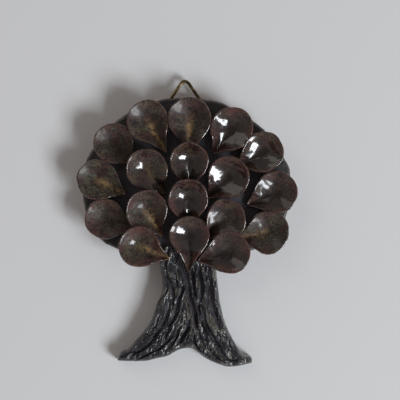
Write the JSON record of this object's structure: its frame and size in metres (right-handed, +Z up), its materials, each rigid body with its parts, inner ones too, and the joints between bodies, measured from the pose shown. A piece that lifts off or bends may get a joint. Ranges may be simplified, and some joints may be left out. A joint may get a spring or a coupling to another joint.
{
  "type": "clay tree of life wall plaque",
  "caption": "Wall-hung clay tree: a bark-carved trunk under a flat crown plate covered with hollow thumb-pressed leaves in dark glaze, with a wire loop at the top.",
  "frame": {"origin": "where the nail under the wire loop's inside top meets the wall", "axes": "+Z up the tree, +Y into the wall it hangs on, so the leaves face -Y, +X to the viewer's right"},
  "size_m": [0.1325, 0.0207, 0.1738],
  "materials": {
    "dark_clay": "near-black brown slip, satin, unglazed at the back",
    "trunk_glaze": "metallic black glaze over carved bark, half gloss",
    "leaf_glaze": "glossy dark brown glaze with olive, rust and ochre flecks",
    "wire": "darkened, dull"
  },
  "bodies": {
    "root": {"crown_plate": "dark_clay", "trunk": "trunk_glaze", "hanging_loop": "wire", "leaf_outer_1": "leaf_glaze", "leaf_outer_2": "leaf_glaze", "leaf_outer_3": "leaf_glaze", "leaf_outer_4": "leaf_glaze", "leaf_outer_5": "leaf_glaze", "leaf_outer_6": "leaf_glaze", "leaf_outer_7": "leaf_glaze", "leaf_outer_8": "leaf_glaze", "leaf_outer_9": "leaf_glaze", "leaf_outer_10": "leaf_glaze", "leaf_outer_11": "leaf_glaze", "leaf_inner_left_upper": "leaf_glaze", "leaf_inner_left_lower": "leaf_glaze", "leaf_inner_right_upper": "leaf_glaze", "leaf_inner_right_lower": "leaf_glaze", "leaf_centre_upper": "leaf_glaze", "leaf_centre_middle": "leaf_glaze", "leaf_centre_lower": "leaf_glaze"}
  },
  "joints": []
}
